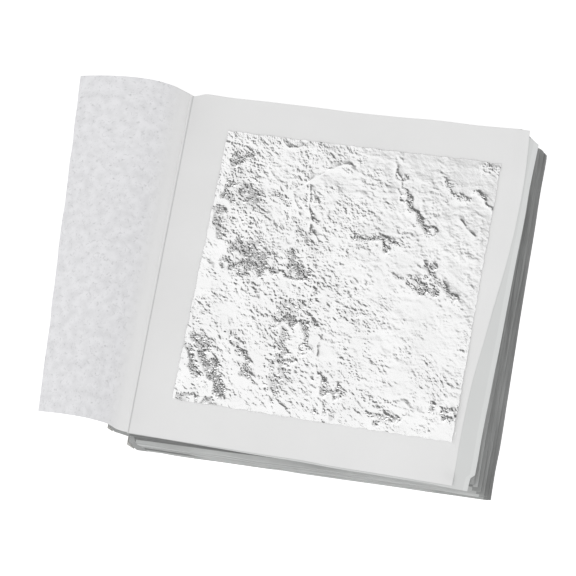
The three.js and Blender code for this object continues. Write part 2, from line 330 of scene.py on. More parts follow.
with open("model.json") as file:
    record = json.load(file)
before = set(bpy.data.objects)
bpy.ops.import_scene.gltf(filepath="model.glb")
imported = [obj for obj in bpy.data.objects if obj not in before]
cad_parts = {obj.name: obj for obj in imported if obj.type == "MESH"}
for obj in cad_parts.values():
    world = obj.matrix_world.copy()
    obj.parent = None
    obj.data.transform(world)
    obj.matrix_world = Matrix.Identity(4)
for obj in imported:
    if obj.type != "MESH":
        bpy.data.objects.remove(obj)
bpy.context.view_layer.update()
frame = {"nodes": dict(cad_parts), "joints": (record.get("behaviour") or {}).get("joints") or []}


# Helpers

def page_node(page):
    return f"page_{page:02d}"


def leaf_node(page):
    return f"silver_leaf_{page:02d}"


def ease(t):
    """0 before 0, 1 after 1, and smooth between."""
    t = np.clip(t, 0, 1)
    return t * t * t * (t * (6 * t - 15) + 10)


def lattice_cell(x, y, seed):
    """A function that gives random values at the corners of each place's cell, and the place within it."""
    lattice = np.random.default_rng(seed).uniform(-1, 1, (LATTICE, LATTICE))
    column, row = np.floor(x).astype(int), np.floor(y).astype(int)

    def corner(right, up):
        return lattice[(column + right) % LATTICE, (row + up) % LATTICE]

    return corner, x - column, y - row


def noise(x, y, seed):
    """Smooth noise from -1 to 1, with bumps about 1 wide."""
    corner, across, along = lattice_cell(x, y, seed)
    across, along = ease(across), ease(along)
    low = corner(0, 0) * (1 - across) + corner(1, 0) * across
    high = corner(0, 1) * (1 - across) + corner(1, 1) * across
    return low * (1 - along) + high * along


def node_points(node):
    """The corners of a CAD node, in millimetres."""
    return np.array([v.co for v in frame["nodes"][node].data.vertices]) / MM


def node_box(node):
    """The low and the high corner of a CAD node's box, in millimetres."""
    return [np.array(corner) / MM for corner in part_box(node)]


def add_object(name, data):
    """A new object in the scene."""
    added = bpy.data.objects.new(name, data)
    bpy.context.scene.collection.objects.link(added)
    return added


def surface_normals(surface):
    """Unit normals of a grid of points, on the side from which its columns turn left into its rows."""
    along_rows, along_columns = np.gradient(surface, axis=(0, 1))
    normals = np.cross(along_columns, along_rows)
    return normals / np.linalg.norm(normals, axis=2, keepdims=True)


def sheet_faces(rows, columns):
    """Quads of a closed sheet, what each belongs to, and which of them look smooth.

    Quads of the upper face count as the rim beside the first and the last row and at the end of the rows,
    so that a page's edge material, painted shade, covers its top there too.
    """
    upper = np.arange(rows * columns).reshape(rows, columns)
    lower = upper + rows * columns
    top_kinds = np.full((rows - 1, columns - 1), FACE)
    top_kinds[:RIM_QUADS] = RIM
    top_kinds[-RIM_QUADS:] = RIM
    top_kinds[:, -RIM_QUADS:] = ROW_END

    def quads(a, b, c, d):
        return np.stack([a.ravel(), b.ravel(), c.ravel(), d.ravel()], axis=1)

    groups = [
        (FACE, quads(upper[:-1, :-1], upper[:-1, 1:], upper[1:, 1:], upper[1:, :-1])),
        (FACE, quads(lower[:-1, :-1], lower[1:, :-1], lower[1:, 1:], lower[:-1, 1:])),
        (RIM, quads(upper[0, 1:], upper[0, :-1], lower[0, :-1], lower[0, 1:])),
        (RIM, quads(upper[-1, :-1], upper[-1, 1:], lower[-1, 1:], lower[-1, :-1])),
        (RIM, quads(upper[:-1, 0], upper[1:, 0], lower[1:, 0], lower[:-1, 0])),
        (ROW_END, quads(upper[1:, -1], upper[:-1, -1], lower[:-1, -1], lower[1:, -1])),
    ]
    kinds = np.concatenate([np.full(len(group), kind) for kind, group in groups])
    smooth = kinds == FACE
    kinds[:top_kinds.size] = top_kinds.ravel()
    return np.concatenate([group for _, group in groups]), kinds, smooth


def make_mesh(name, sheets, thickness, materials, number=0):
    """One object of closed sheets, each a grid of middle points.

    The materials are for the faces, the rims and, if it differs, the rim at the end of the rows. The
    number sets the textures of alike pieces apart.
    """
    points, faces, kinds, smooth, uvs = [], [], [], [], []
    start = 0
    for surface in sheets:
        rows, columns = surface.shape[:2]
        offset = surface_normals(surface) * thickness / 2
        points.append((surface + offset).reshape(-1, 3))
        points.append((surface - offset).reshape(-1, 3))
        sheet, sheet_kinds, sheet_smooth = sheet_faces(rows, columns)
        faces.append(sheet + start)
        kinds.append(sheet_kinds)
        smooth.append(sheet_smooth)
        uvs.append(np.tile((sheet_uv(surface) + number * np.array(UV_SHIFT)).reshape(-1, 2), (2, 1)))
        start += 2 * rows * columns
    faces, kinds, uvs = np.concatenate(faces), np.concatenate(kinds), np.concatenate(uvs)
    mesh = bpy.data.meshes.new(name)
    mesh.from_pydata((np.concatenate(points) * MM).tolist(), [], faces.tolist())
    mesh.polygons.foreach_set("use_smooth", np.concatenate(smooth))
    for material in materials:
        mesh.materials.append(material)
    mesh.polygons.foreach_set("material_index", np.minimum(kinds, len(materials) - 1).astype(np.int32))
    mesh.uv_layers.new(name=UV_MAP).data.foreach_set("uv", uvs[faces.ravel()].ravel())
    mesh.update()
    mesh.set_sharp_from_angle(angle=math.radians(SHARP_ANGLE))
    return add_object(name, mesh)


def sheet_uv(surface):
    """Lengths along the middle row and the middle column of a sheet, as its UV map."""
    rows, columns = surface.shape[:2]

    def lengths(line):
        return np.concatenate([[0], np.cumsum(np.linalg.norm(np.diff(line, axis=0), axis=1))])

    across, along = lengths(surface[rows // 2]), lengths(surface[:, columns // 2])
    return np.stack(np.meshgrid(across, along), axis=2) / UV_SIZE


# Materials

def new_material(name):
    material = bpy.data.materials.new(name)
    material.use_nodes = True
    nodes = material.node_tree.nodes
    return material, nodes, material.node_tree.links, nodes["Principled BSDF"]


def uv_socket(nodes):
    place = nodes.new("ShaderNodeUVMap")
    place.uv_map = UV_MAP
    return place.outputs["UV"]


def noise_node(nodes, links, scale, detail=3.0, stretch=None, turn=0.0):
    """Noise on the sheet's own UV map, stretched along one direction if asked."""
    source = uv_socket(nodes)
    if stretch:
        mapping = nodes.new("ShaderNodeMapping")
        mapping.vector_type = "TEXTURE"
        mapping.inputs["Rotation"].default_value = (0, 0, math.radians(turn))
        mapping.inputs["Scale"].default_value = (stretch, 1, 1)
        links.new(source, mapping.inputs["Vector"])
        source = mapping.outputs["Vector"]
    texture = nodes.new("ShaderNodeTexNoise")
    texture.inputs["Scale"].default_value = scale
    texture.inputs["Detail"].default_value = detail
    links.new(source, texture.inputs["Vector"])
    return texture.outputs["Fac"]


def ramp_node(nodes, links, factor, stops):
    """A colour ramp with the given (place, colour) stops."""
    ramp = nodes.new("ShaderNodeValToRGB")
    elements = ramp.color_ramp.elements
    while len(elements) < len(stops):
        elements.new(0.5)
    for element, (place, colour) in zip(elements, stops):
        element.position = place
        element.color = (*colour, 1)
    links.new(factor, ramp.inputs["Fac"])
    return ramp.outputs["Color"]


def multiply_node(nodes, links, a, b):
    mix = nodes.new("ShaderNodeMix")
    mix.data_type = "RGBA"
    mix.blend_type = "MULTIPLY"
    mix.inputs["Factor"].default_value = 1
    links.new(a, mix.inputs[MIX_A])
    links.new(b, mix.inputs[MIX_B])
    return mix.outputs[MIX_RESULT]


def add_bump(nodes, links, shader, height, distance, strength=1.0):
    bump = nodes.new("ShaderNodeBump")
    bump.inputs["Strength"].default_value = strength
    bump.inputs["Distance"].default_value = distance * MM
    links.new(height, bump.inputs["Height"])
    links.new(bump.outputs["Normal"], shader.inputs["Normal"])
    return bump


def grey(level, tint=(1, 1, 1)):
    return tuple(level * t for t in tint)


def set_finish(shader, roughness, specular):
    shader.inputs["Roughness"].default_value = roughness
    shader.inputs["Specular IOR Level"].default_value = specular


def tissue_material(name, level, tint, root=None):
    """Smooth tissue with a faint cloudiness and fine fibres, and a shaded line at a page's root."""
    material, nodes, links, shader = new_material(name)
    clouds = noise_node(nodes, links, scale=3.5)
    dark, light = grey(level * TISSUE_CLOUD, tint), grey(level, tint)
    colour = ramp_node(nodes, links, clouds, [(0.3, dark), (0.7, light)])
    if root is not None:
        start, end = (root + place / UV_SIZE for place in ROOT_SHADE)
        colour = by_crease(nodes, links, grey(ROOT_SHADE_TONE, tint), colour, start, end)
    links.new(colour, shader.inputs["Base Color"])
    set_finish(shader, roughness=0.82, specular=0.25)
    fibres = noise_node(nodes, links, scale=160, detail=4, stretch=3, turn=20)
    add_bump(nodes, links, shader, fibres, distance=0.02, strength=0.5)
    return material


def flecked_material():
    """The flap's tissue: cloudy, with short dark fibres lying in all directions."""
    material, nodes, links, shader = new_material("flecked_tissue")
    clouds = noise_node(nodes, links, scale=34, detail=6)
    dark, light = (grey(level, FLAP_TINT) for level in FLAP_CLOUDS)
    speckled = ramp_node(nodes, links, clouds, [(0.34, dark), (0.62, light)])
    for scale, turn, level in FLAP_FIBRES:
        fibres = noise_node(nodes, links, scale, detail=2, stretch=1.7, turn=turn)
        fleck = ramp_node(nodes, links, fibres, [(0.63, grey(1)), (0.71, grey(level))])
        speckled = multiply_node(nodes, links, speckled, fleck)
    start, end = FLAP_PLAIN_BAND / UV_SIZE, FLAP_FLECKS_FROM / UV_SIZE
    colour = by_crease(nodes, links, grey(FLAP_PLAIN_TONE), speckled, start, end)
    links.new(colour, shader.inputs["Base Color"])
    set_finish(shader, roughness=0.9, specular=0.2)
    felt = noise_node(nodes, links, scale=70, detail=6)
    add_bump(nodes, links, shader, felt, distance=0.06, strength=0.6)
    return material


def by_crease(nodes, links, near, away_colour, start, end):
    """One colour beside the crease, which turns into another between two distances from it."""
    split = nodes.new("ShaderNodeSeparateXYZ")
    links.new(uv_socket(nodes), split.inputs["Vector"])
    away = nodes.new("ShaderNodeMapRange")
    away.interpolation_type = "SMOOTHSTEP"
    away.inputs["From Min"].default_value = start
    away.inputs["From Max"].default_value = end
    links.new(split.outputs["X"], away.inputs["Value"])
    mix = nodes.new("ShaderNodeMix")
    mix.data_type = "RGBA"
    mix.inputs[MIX_A].default_value = (*near, 1)
    links.new(away.outputs["Result"], mix.inputs["Factor"])
    links.new(away_colour, mix.inputs[MIX_B])
    return mix.outputs[MIX_RESULT]


def edge_material(name, level, shaded_page=None):
    """Cut edges in painted shade, whose tone differs from sheet to sheet and along each; one page's edge is
    painted darker still as the shade of a slot.
    """
    material, nodes, links, shader = new_material(name)
    streaks = noise_node(nodes, links, scale=2.5, detail=5)
    dark, light = (grey(level * share, EDGE_TINT) for share in EDGE_STREAKS)
    colour = ramp_node(nodes, links, streaks, [(0.35, dark), (0.65, light)])
    # Painted shade of the slot, on this page's tail edge beside the glued edge
    if shaded_page:
        crease = shaded_page * UV_SHIFT[0]
        end = crease + SLOT_LENGTH / UV_SIZE
        colour = by_crease(nodes, links, grey(SLOT_SHADE_TONE, EDGE_TINT), colour, (crease + end) / 2, end)
    links.new(colour, shader.inputs["Base Color"])
    set_finish(shader, roughness=0.9, specular=0.2)
    return material


def silver_material():
    """Beaten silver leaf: bright metal, with a grain that is coarser where the leaf is rough, and painted
    shade that darkens it in the rough dips.
    """
    material, nodes, links, shader = new_material("silver_leaf")
    shader.inputs["Metallic"].default_value = 1
    crinkle = nodes.new("ShaderNodeAttribute")
    crinkle.attribute_name = "crinkle"
    clouds = noise_node(nodes, links, scale=9, detail=5)
    dark, light = (grey(level) for level in SILVER_TONES)
    tone = ramp_node(nodes, links, clouds, [(0.35, dark), (0.65, light)])
    # Painted shade: the colour darkens where the leaf is most crinkled
    crinkle_shade = ramp_node(nodes, links, crinkle.outputs["Fac"], [(CRINKLE_SHADE_FROM, grey(1)), (1.0, grey(CRINKLE_SHADE_TONE))])
    links.new(multiply_node(nodes, links, tone, crinkle_shade), shader.inputs["Base Color"])
    shader.inputs["Roughness"].default_value = 0.16
    strength = nodes.new("ShaderNodeMapRange")
    strength.inputs["From Min"].default_value = CALM_AT_FORE_EDGE / ROUGH
    strength.inputs["To Min"].default_value = GRAIN_WHERE_CALM
    links.new(crinkle.outputs["Fac"], strength.inputs["Value"])
    grain = noise_node(nodes, links, scale=75, detail=2, stretch=1.4, turn=-45)
    bump = add_bump(nodes, links, shader, grain, distance=GRAIN)
    links.new(strength.outputs["Result"], bump.inputs["Strength"])
    return material


def glue_material():
    """Dried padding glue: a milky, slightly glossy film."""
    material, nodes, links, shader = new_material("spine_glue")
    clouds = noise_node(nodes, links, scale=8, detail=5)
    dark, light = GLUE_COLOURS
    links.new(ramp_node(nodes, links, clouds, [(0.3, dark), (0.7, light)]), shader.inputs["Base Color"])
    shader.inputs["Roughness"].default_value = 0.38
    shader.inputs["Coat Weight"].default_value = 0.25
    bumps = noise_node(nodes, links, scale=45, detail=4)
    add_bump(nodes, links, shader, bumps, distance=0.15, strength=0.7)
    return material


PAGE_BELOW_SLOT = SLOT_PAGES[-1] + 1
TISSUE = tissue_material("tissue", level=0.86, tint=TISSUE_TINT, root=UV_SHIFT[0])
# The tissue of the pages under the top one is painted in shade: a darker copy, and one a little less dark
# along the second page's fore-edge
SHADED_TISSUE = tissue_material("inner_tissue_painted_shade", level=0.72, tint=EDGE_TINT)
SHADED_TISSUE_BORDER = tissue_material("tissue_border_painted_shade", level=0.76, tint=EDGE_TINT)
TOP_TISSUES = [[TISSUE], [SHADED_TISSUE, SHADED_TISSUE, SHADED_TISSUE_BORDER]]  # of the first two pages
# The cut edges and the glued paper are painted in shade: their dark tones stand in for the shade on the
# edges and between the sheets, darkest on the upper tail edges, which lie under the top pages
SHADED_UPPER_TAIL_EDGE = edge_material("upper_tail_edge_painted_shade", level=0.27)
SHADED_LOWER_TAIL_EDGE = edge_material("lower_tail_edge_painted_shade", level=0.63)
SHADED_SLOT_EDGE = edge_material("slot_edge_painted_shade", level=0.63, shaded_page=PAGE_BELOW_SLOT)
SHADED_UPPER_FORE_EDGE = edge_material("upper_fore_edge_painted_shade", level=0.46)
SHADED_LOWER_FORE_EDGE = edge_material("lower_fore_edge_painted_shade", level=0.385)
FLECKED = flecked_material()
SHADED_BOUND_PAPER = edge_material("bound_paper", level=0.48)
SILVER = silver_material()
GLUE = glue_material()


# Pages

def page_corners(node):
    """Tail and head corner beside the crease, then at the fore-edge, in x and y, and the middle height."""
    points = node_points(node)
    middle = (points.min(0) + points.max(0)) / 2
    right, head = points[:, 0] > middle[0], points[:, 1] > middle[1]
    places = [points[(right == r) & (head == h)][0, :2] for r in (False, True) for h in (False, True)]
    return places, middle[2]


def fore_edge_shift(page, along):
    """How far a page's fore-edge stands out, at shares of its length from tail to head."""
    if page == 1:
        return TOP_PAGE_SWING * np.sin(2 * np.pi * (along - 0.5)) + TOP_PAGE_BELLY * np.sin(np.pi * along)
    tail_to_head = along * PAGE_LENGTH
    if page == 2:
        return NICK_DEPTH * (ease((tail_to_head - NICK_PLACE) / NICK_WIDTH + 0.5) - 1)
    slip = PAGE_SLIP * np.random.default_rng(page).uniform(-1, 0)
    return slip - TAIL_LEAN * (1 - page / BACK_PAGE) * (1 - along) ** 2


def tail_shift(page, across):
    """How far a page's tail draws back, at shares of its width from the crease to the fore-edge."""
    slip = 0 if page <= 2 else PAGE_SLIP * np.random.default_rng(page + LEAF_COUNT).uniform(-0.5, 0.5)
    if page not in SLOT_PAGES:
        return np.full_like(across, slip)
    return slip + SLOT_DEPTH * (1 - ease(across * PAGE_LENGTH / SLOT_LENGTH))


def head_shift(page, across):
    """How far a page's head stands out, at shares of its width: it bulges, or its corner is worn off."""
    if page == 1:
        from_crease = across * PAGE_LENGTH
        bulge = ease(from_crease / TOP_PAGE_BULGE_START) * (1 - ease(from_crease / TOP_PAGE_BULGE_END))
        return TOP_PAGE_BULGE * bulge
    cut = TOP_CORNER_CUT + (BACK_CORNER_CUT - TOP_CORNER_CUT) * page / BACK_PAGE
    slope = SECOND_CORNER_SLOPE if page == 2 else 1
    return -HEAD_SLANT * across - slope * np.clip(cut - (1 - across) * PAGE_LENGTH, 0, None)


def edge_wander(places, seed):
    line = np.full_like(places, MID_CELL)
    return PAGE_EDGE_WANDER * noise(places / PAGE_EDGE_WANDER_LENGTH, line, seed)


def page_surface(node, page, root):
    """Middle points of a page: rows from tail to head, columns from the crease to the fore-edge."""
    (inner_tail, inner_head, outer_tail, outer_head), height = page_corners(node)
    shares = np.linspace(0, 1, PAGE_STEPS + 1)
    shares -= PAGE_STEP_CROWDING * np.sin(2 * np.pi * shares)
    across, along = np.meshgrid(shares, shares)
    across, along = across[..., None], along[..., None]
    tail = inner_tail - (root, 0) + (outer_tail - inner_tail + (root, 0)) * across
    head = inner_head - (root, 0) + (outer_head - inner_head + (root, 0)) * across
    xy = tail * (1 - along) + head * along
    across, along = across[..., 0], along[..., 0]
    fore_edge = fore_edge_shift(page, along) + edge_wander(xy[..., 1], FORE_EDGE_SEED + page)
    xy[..., 0] += across**FORE_EDGE_FADE * fore_edge
    tail_edge = tail_shift(page, across) + edge_wander(xy[..., 0], TAIL_EDGE_SEED + page)
    xy[..., 1] += (1 - along) ** EDGE_FADE * tail_edge
    head_edge = head_shift(page, across) + edge_wander(xy[..., 0], HEAD_EDGE_SEED + page)
    xy[..., 1] += along**EDGE_FADE * head_edge
    return np.concatenate([xy, page_height(xy, page, height)[..., None]], axis=2)


def page_height(xy, page, height):
    """Heights of a wavy page: its waves are low under a leaf, higher at its free edges, none at the crease.

    The top page has the low waves all over, and its fore-edge hangs down.
    """
    to_fore_edge = xy[:, -1:, 0] - xy[..., 0]
    to_tail, to_head = xy[..., 1] - xy[:1, :, 1], xy[-1:, :, 1] - xy[..., 1]
    to_edge = np.minimum.reduce([to_fore_edge, to_tail, to_head])
    border = 1 - ease(to_edge / PAGE_EDGE_MARGIN)
    size = PAGE_WAVE_UNDER_LEAF + (PAGE_WAVE_AT_EDGE - PAGE_WAVE_UNDER_LEAF) * border
    places = xy[..., 0] / PAGE_WAVE_LENGTH + page, xy[..., 1] / PAGE_WAVE_LENGTH
    wave = noise(*places, PAGE_WAVE_SEED + page)
    from_crease = ease((xy[..., 0] - xy[:, :1, 0]) / PAGE_EDGE_MARGIN)
    if page > 1:
        return height + size * wave * from_crease
    hanging = 1 - ease(to_fore_edge / TOP_PAGE_DROOP_WIDTH)
    droop = TOP_PAGE_DROOP * hanging * ease(to_tail / TOP_PAGE_CORNER)
    return height + (PAGE_WAVE_UNDER_LEAF * wave - droop) * from_crease


def page_materials(page):
    """For a page's faces, its tail and head edges, and its fore-edge."""
    if page <= len(TOP_TISSUES):
        return TOP_TISSUES[page - 1]
    if page == PAGE_BELOW_SLOT:
        return [SHADED_TISSUE, SHADED_SLOT_EDGE, SHADED_LOWER_FORE_EDGE]
    if page <= UPPER_PAGES:
        return [SHADED_TISSUE, SHADED_UPPER_TAIL_EDGE, SHADED_UPPER_FORE_EDGE]
    return [SHADED_TISSUE, SHADED_LOWER_TAIL_EDGE, SHADED_LOWER_FORE_EDGE]


def make_page(page):
    node = page_node(page)
    root = TOP_PAGE_ROOT if page == 1 else PAGE_ROOT
    surface = page_surface(node, page, root)
    thickness = TOP_PAGE_THICKNESS if page <= len(TOP_TISSUES) else PAGE_THICKNESS
    piece = make_mesh(f"{node}_sheet", [surface], thickness, page_materials(page), page)
    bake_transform(piece)
    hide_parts(node)


def make_back_page():
    surface = page_surface("back_page", BACK_PAGE, root=0)
    materials = page_materials(BACK_PAGE)
    piece = make_mesh("back_page_sheet", [surface], PAGE_THICKNESS, materials, BACK_PAGE)
    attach(piece, "bound_block")
    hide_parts("back_page")


# Leaves

def along_stretch(x, y, start, end):
    """How far places lie to the side of a stretch between two points, and how far past its ends."""
    start, end = np.array(start, float), np.array(end, float)
    length = np.linalg.norm(end - start)
    direction = (end - start) / length
    along = (x - start[0]) * direction[0] + (y - start[1]) * direction[1]
    across = -(x - start[0]) * direction[1] + (y - start[1]) * direction[0]
    past = np.maximum(np.maximum(-along, along - length), 0)
    return across, past


def teeth(x, y, seed):
    """Uneven small steps that fall towards the head-right corner, from 1 to 0 each."""
    stray = noise(x / (2 * TOOTH), y / (2 * TOOTH), seed) + noise(x / TOOTH, y / TOOTH, seed + 1)
    place = (x + y) / math.sqrt(2) / TOOTH + TOOTH_BEND * stray
    share = place - np.floor(place)
    return np.where(share < TOOTH_FALL, 1 - share / TOOTH_FALL, (share - TOOTH_FALL) / (1 - TOOTH_FALL))


def dips(x, y, seed):
    """Height of the stepped dips, and how rough the leaf is in them."""
    steep, rough = np.zeros_like(x), np.zeros_like(x)
    places = x / DIP_STRAY_LENGTH, y / DIP_STRAY_LENGTH
    bent_x = x + DIP_STRAY * noise(*places, seed + 2)
    bent_y = y + DIP_STRAY * noise(*places, seed + 3)
    for start, end, width, slope in DIPS:
        across, past = along_stretch(bent_x, bent_y, start, end)
        near = np.exp(-((2 * across / width) ** 2) - (2 * past / width) ** 2)
        steep = np.maximum(steep, slope * near)
        rough = np.maximum(rough, near * min(slope / STEEP, 1))
    return DIP_DEPTH * steep * TOOTH * TOOTH_FALL * teeth(x, y, seed), rough


def creases_height(x, y, seed):
    """Sharp creases that waver and come and go."""
    places = x / CREASE_STRAY_LENGTH, y / CREASE_STRAY_LENGTH
    x = x + CREASE_STRAY * noise(*places, seed)
    y = y + CREASE_STRAY * noise(*places, seed + 1)
    height = np.zeros_like(x)
    for start, end in CREASES:
        across, past = along_stretch(x, y, start, end)
        height += np.exp(-np.abs(across) / CREASE_WIDTH - (past / CREASE_WIDTH) ** 2)
    return CREASE_HEIGHT * height * (1 + CREASE_UNEVENNESS * noise(*places, seed + 2))


def facets(x, y, seed):
    """Height from -1 to 1 of a crumpled sheet, whose flat triangles are about 1 wide."""
    corner, across, along = lattice_cell(x + y / math.sqrt(3), 2 * y / math.sqrt(3), seed)
    near = corner(0, 0) * (1 - across - along) + corner(1, 0) * across + corner(0, 1) * along
    far = corner(1, 1) * (across + along - 1) + corner(0, 1) * (1 - across) + corner(1, 0) * (1 - along)
    return np.where(across + along < 1, near, far)


def terraces(x, y, seed):
    """Flat patches at heights 0 and 1, with ragged and steep borders."""
    place = sum(share * noise(x / length, y / length, seed) for length, share in TERRACES)
    return (1 + np.tanh(TERRACE_SHARPNESS * np.sin(TERRACE_COUNT * math.pi * place))) / 2


def facets_height(kinds, x, y, seed):
    """Facets of some kinds, one on another."""
    height = np.zeros_like(x)
    for number, (width, slope) in enumerate(kinds):
        turn = math.radians(FACET_TURN * number)
        along = (x * math.cos(turn) + y * math.sin(turn)) / width
        across = (y * math.cos(turn) - x * math.sin(turn)) / width
        own_seed = seed + FACET_SEEDS * number
        bent_along = along + FACET_BEND * noise(along, across, own_seed)
        bent_across = across + FACET_BEND * noise(along, across, own_seed + 1)
        height += slope * width * facets(bent_along, bent_across, own_seed + 2)
    return height


def leaf_relief(x, y, page):
    """Height of a leaf, and how rough it is as a share of its roughest."""
    seed = LEAF_SEED + LEAF_SEED_STEP * page
    calm = CALM_AT_SPINE + (CALM_AT_FORE_EDGE - CALM_AT_SPINE) * ease(x / LEAF_SIDE + 0.5)
    calm = calm - CALM_SLANT * y / LEAF_SIDE
    patches = sum(size * noise(x / length, y / length, seed) for length, size in CALM_PATCHES)
    roughness = np.minimum(calm * np.maximum(1 + patches, SMOOTHEST), ROUGH)
    height = SWELL_HEIGHT * noise(x / SWELL_LENGTH, y / SWELL_LENGTH, seed + SWELL_SEED)
    height = calm * (height + facets_height(BROAD_FACETS, x, y, seed + BROAD_FACET_SEED))
    height = np.maximum(height - np.percentile(height, LEAF_SUNK), 0)
    # Outside the dips the crinkle stays below the start of the painted shade
    crinkle = np.minimum(roughness / ROUGH, CRINKLE_SHADE_FROM)
    if page == 1:
        dip_height, rough = dips(x, y, seed + DIP_SEED)
        height += dip_height + creases_height(x, y, seed + CREASE_SEED)
        roughness += (ROUGH - roughness) * rough
        crinkle = np.maximum(crinkle, rough)
    fine = facets_height(FINE_FACETS, x, y, seed + FINE_FACET_SEED)
    fine = fine + TERRACE_HEIGHT * terraces(x, y, seed + TERRACE_SEED)
    height += FACET_LIFT + roughness * fine
    to_edge = LEAF_SIDE / 2 - np.maximum(np.abs(x), np.abs(y))
    lying = LEAF_LYING_SHARE + (1 - LEAF_LYING_SHARE) * ease(to_edge / LEAF_LYING_BORDER)
    return lying * np.maximum(height, 0), crinkle


def leaf_surface(page, steps):
    """Middle points of a leaf, on top of its page, and how rough it is at each."""
    points = node_points(leaf_node(page))
    lo, hi = points.min(0), points.max(0)
    first = points[np.argmax(points[:, 0])]
    middle = (lo + hi) / 2
    turn = math.atan2(first[1] - middle[1], first[0] - middle[0])
    yaw = turn - math.copysign(math.pi / 4, turn)
    half = LEAF_SIDE / 2
    side = np.linspace(-half, half, steps + 1)
    x, y = np.meshgrid(side, side)
    relief, crinkle = leaf_relief(x, y, page)
    if page > 1:
        relief *= PRESSED_RELIEF / relief.max()
        crinkle *= PRESSED_ROUGHNESS
    places = x / LEAF_EDGE_WANDER_LENGTH, y / LEAF_EDGE_WANDER_LENGTH
    ragged = LEAF_EDGE_WANDER * noise(*places, LEAF_EDGE_SEED + page)
    outer = np.maximum(np.abs(x), np.abs(y)) / half
    shrink = 1 - (ragged + LEAF_EDGE_WANDER) / half * outer**LEAF_EDGE_FADE
    x, y = x * shrink, y * shrink
    world_x = middle[0] + math.cos(yaw) * x - math.sin(yaw) * y
    world_y = middle[1] + math.sin(yaw) * x + math.cos(yaw) * y
    return np.stack([world_x, world_y, lo[2] + LEAF_SEAT + relief], axis=2), crinkle


def make_leaf(page):
    node = leaf_node(page)
    steps = {1: TOP_LEAF_STEPS, 2: SECOND_LEAF_STEPS}.get(page, INNER_LEAF_STEPS)
    surface, crinkle = leaf_surface(page, steps)
    piece = make_mesh(f"{node}_sheet", [surface], LEAF_THICKNESS, [SILVER], page)
    values = piece.data.attributes.new("crinkle", "FLOAT", "POINT").data
    values.foreach_set("value", np.tile(crinkle.ravel(), 2))
    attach(piece, node if page <= SLIDING_LEAVES else page_node(page))
    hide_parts(node)


# Front flap

def curl_points(curl, shares):
    """Points of a cubic Bezier curve."""
    a, b, c, d = (np.array(point, float) for point in curl)
    t = shares[:, None]
    return a * (1 - t) ** 3 + 3 * b * t * (1 - t) ** 2 + 3 * c * t**2 * (1 - t) + d * t**3


def flap_hinge():
    joint = next(j for j in frame["joints"] if j["name"] == "front_flap_turn")
    return np.array(joint["pos_m"]) / MM


def flap_surface():
    """Middle points of the flap: rows from head to tail, columns from the crease to its free edge."""
    hinge = flap_hinge()
    lo, hi = node_box("front_flap")
    shares = np.linspace(0, 1, FLAP_STEPS + 1)
    tail, head = curl_points(FLAP_TAIL_CURL, shares), curl_points(FLAP_HEAD_CURL, shares)
    out, along = np.meshgrid(shares, shares)
    reach_rise = tail[None] * (1 - along[..., None]) + head[None] * along[..., None]
    foot = 1 - ease(out / FLAP_ROOT_SHARE)
    x = hinge[0] - reach_rise[..., 0] + FLAP_ROOT_SHIFT * foot
    y = lo[1] + (hi[1] - lo[1]) * along - FLAP_TAIL_SPREAD * (1 - ease(out / FLAP_TAIL_SHARE)) * (1 - along)
    z = hinge[2] + reach_rise[..., 1] - FLAP_ROOT_DROP * foot
    z += FLAP_WAVE * ease(out) * noise(x / FLAP_WAVE_LENGTH, y / FLAP_WAVE_LENGTH, FLAP_WAVE_SEED)
    x += FLAP_EDGE_WANDER * noise(y / FLAP_EDGE_WANDER_LENGTH, out, FLAP_EDGE_SEED) * out**EDGE_FADE
    curl = np.stack([x, y, z], axis=2)
    ahead = np.linspace(1, 0, FLAP_ROOT_STEPS, endpoint=False)[None, :, None]
    strip = curl[:, :1] + ahead * np.array([FLAP_STRIP, 0, -FLAP_STRIP_DROP])
    return np.concatenate([strip, curl], axis=1)[::-1]


def make_flap():
    surface = flap_surface()
    piece = make_mesh("front_flap_sheet", [surface], FLAP_THICKNESS, [FLECKED])
    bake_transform(piece)
    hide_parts("front_flap")


# Glued edge

def bound_sides(node):
    """The spine side and the page side of a glued edge, as functions that give x at a height."""
    points = node_points(node)
    low, high = points[:, 2].min(), points[:, 2].max()

    def rightmost(height):
        return points[np.isclose(points[:, 2], height, atol=SAME_LEVEL), 0].max()

    page_side = [rightmost(low), rightmost(high)]

    def right(height):
        return np.interp(height, [low, high], page_side)

    spine = points[points[:, 0] < right(points[:, 2]) - SPINE_MARGIN]
    spine = spine[np.argsort(spine[:, 2])]

    def left(height):
        return np.interp(height, spine[:, 2], spine[:, 0])

    return left, right


def bound_ends(node):
    """A function that gives, at a height, the tail ends at the spine and at the pages, and the head end."""
    points = node_points(node)
    levels = [points[:, 2].min(), points[:, 2].max()]

    def ends_at(level):
        corners = points[np.isclose(points[:, 2], level, atol=SAME_LEVEL)]
        beside_spine = corners[:, 0] < (corners[:, 0].min() + corners[:, 0].max()) / 2
        return corners[beside_spine, 1].min(), corners[~beside_spine, 1].min(), corners[:, 1].max()

    low, high = (np.array(ends_at(level)) for level in levels)
    return lambda height: low + (high - low) * (height - levels[0]) / (levels[1] - levels[0])


